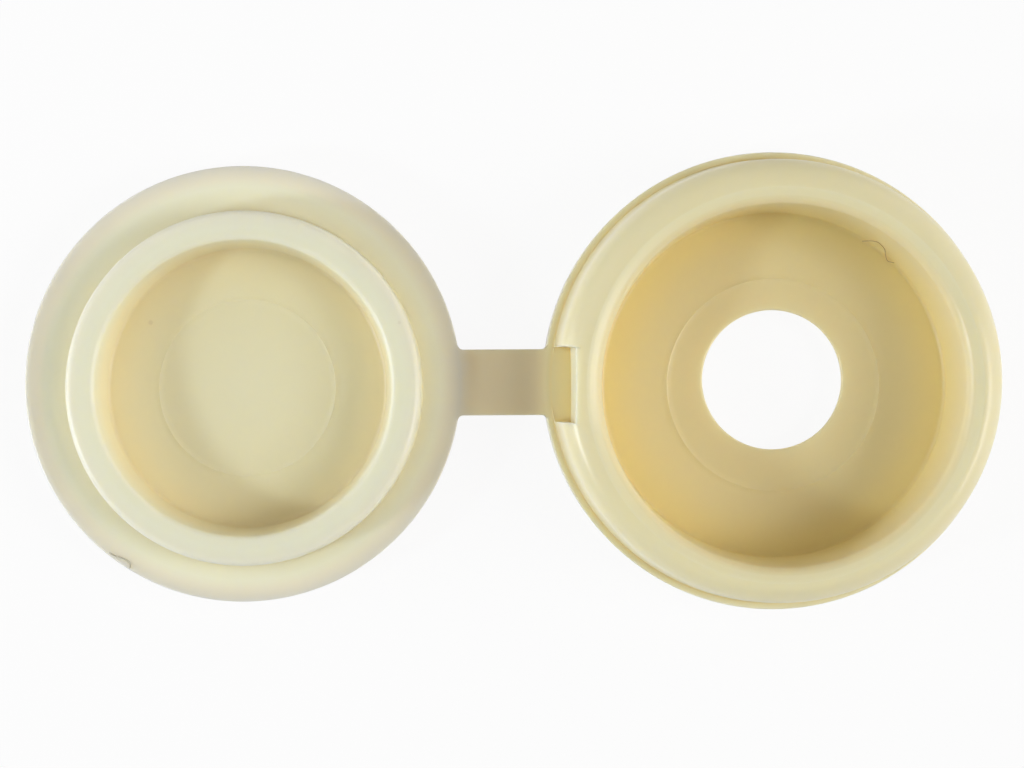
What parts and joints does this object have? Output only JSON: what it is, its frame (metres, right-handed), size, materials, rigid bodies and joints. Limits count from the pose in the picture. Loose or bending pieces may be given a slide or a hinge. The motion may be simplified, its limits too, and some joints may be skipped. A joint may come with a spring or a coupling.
{
  "type": "screw cover cap",
  "caption": "Snap cap that hides a screw head: a base cup with a screw hole, joined by a flat strap to a domed lid with a plug ring, moulded in one piece and lying open.",
  "frame": {"origin": "on the screw hole's axis, in the plane of the base's underside", "axes": "+Z out of the cup's mouth, along the screw hole, towards the screw's head; -X along the strap towards the lid; Y across the strap"},
  "size_m": [0.0303, 0.0142, 0.0038],
  "materials": {
    "cream_plastic": "cream translucent moulded plastic with a soft sheen"
  },
  "bodies": {
    "root": {"screw_cover_cap": "cream_plastic"}
  },
  "joints": []
}
